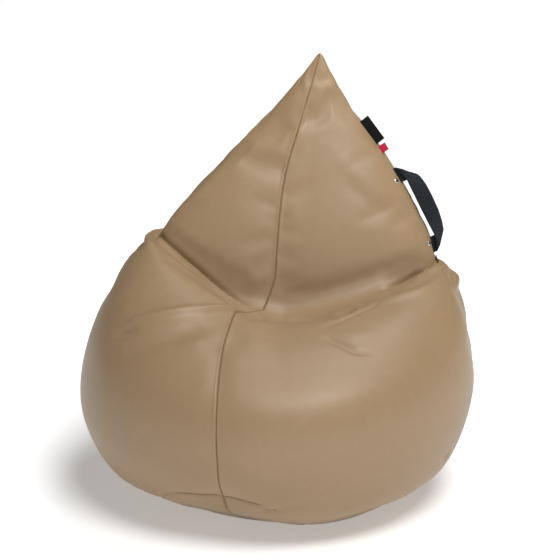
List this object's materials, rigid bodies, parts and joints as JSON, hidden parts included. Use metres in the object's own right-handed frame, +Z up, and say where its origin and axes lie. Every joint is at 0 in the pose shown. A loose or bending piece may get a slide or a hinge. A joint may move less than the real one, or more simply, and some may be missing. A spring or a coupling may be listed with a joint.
{
  "type": "bean bag chair",
  "caption": "Teardrop bean bag chair with a hollowed seat, a raised backrest, a leatherette cover, an inner liner, and a webbing carry handle on the side seam.",
  "frame": {"origin": "on the floor under the middle of the bag's box", "axes": "+Z up to the tip of the backrest, -Y to the front of the seat, +X to the sitter's left, the side with the handle as seen from the front right"},
  "size_m": [0.8626, 0.8692, 0.9459],
  "materials": {
    "leatherette": "satin faux leather, fine grain, beige-brown",
    "webbing": "matte woven webbing, near black",
    "rivet_metal": "bright nickel",
    "black_tag": "woven label, plain black",
    "red_tag": "woven label, plain red",
    "white_label": "plain white satin label",
    "zip_tape": "woven tape, brown",
    "zip_coil": "nylon coil, brown",
    "zip_metal": "die-cast slider",
    "liner_cloth": "white spunbond cloth",
    "liner_tape": "woven tape, white",
    "liner_coil": "nylon coil, white",
    "foam_beads": "expanded polystyrene beads"
  },
  "bodies": {
    "root": {"panel_front_left": "leatherette", "panel_front_right": "leatherette", "panel_back_right": "leatherette", "panel_back_left": "leatherette", "base_panel_left": "leatherette", "base_panel_right": "leatherette", "base_zip_tape_left": "zip_tape", "base_zip_tape_right": "zip_tape", "base_zip_coil_left": "zip_coil", "base_zip_coil_right": "zip_coil", "base_zip_stops": "zip_metal", "liner_left": "liner_cloth", "liner_right": "liner_cloth", "liner_zip_tape_left": "liner_tape", "liner_zip_tape_right": "liner_tape", "liner_zip_coil_left": "liner_coil", "liner_zip_coil_right": "liner_coil", "bead_fill": "foam_beads", "handle_end_upper": "webbing", "handle_end_lower": "webbing", "handle_backing_patches": "leatherette", "handle_rivet_caps": "rivet_metal", "handle_rivet_backs": "rivet_metal", "side_tag": "black_tag", "size_tag": "red_tag", "care_label": "white_label"},
    "handle": {"handle_strap": "webbing"},
    "base_slider": {"base_zip_slider": "zip_metal"},
    "liner_slider": {"liner_zip_slider": "zip_metal"}
  },
  "joints": [
    {"name": "handle_swing", "type": "hinge", "parent": "root", "child": "handle", "pos_m": [0.27108, 0.09839, 0.68875], "axis": [0.4512, -0.1698, -0.8762], "range_deg": [-50, 50]},
    {"name": "base_zip_slide", "type": "slide", "parent": "root", "child": "base_slider", "axis": [0.309, 0.9511, 0], "range_m": [-0.366, 0]},
    {"name": "liner_zip_slide", "type": "slide", "parent": "root", "child": "liner_slider", "axis": [0.309, 0.9511, 0], "range_m": [-0.268, 0]}
  ]
}
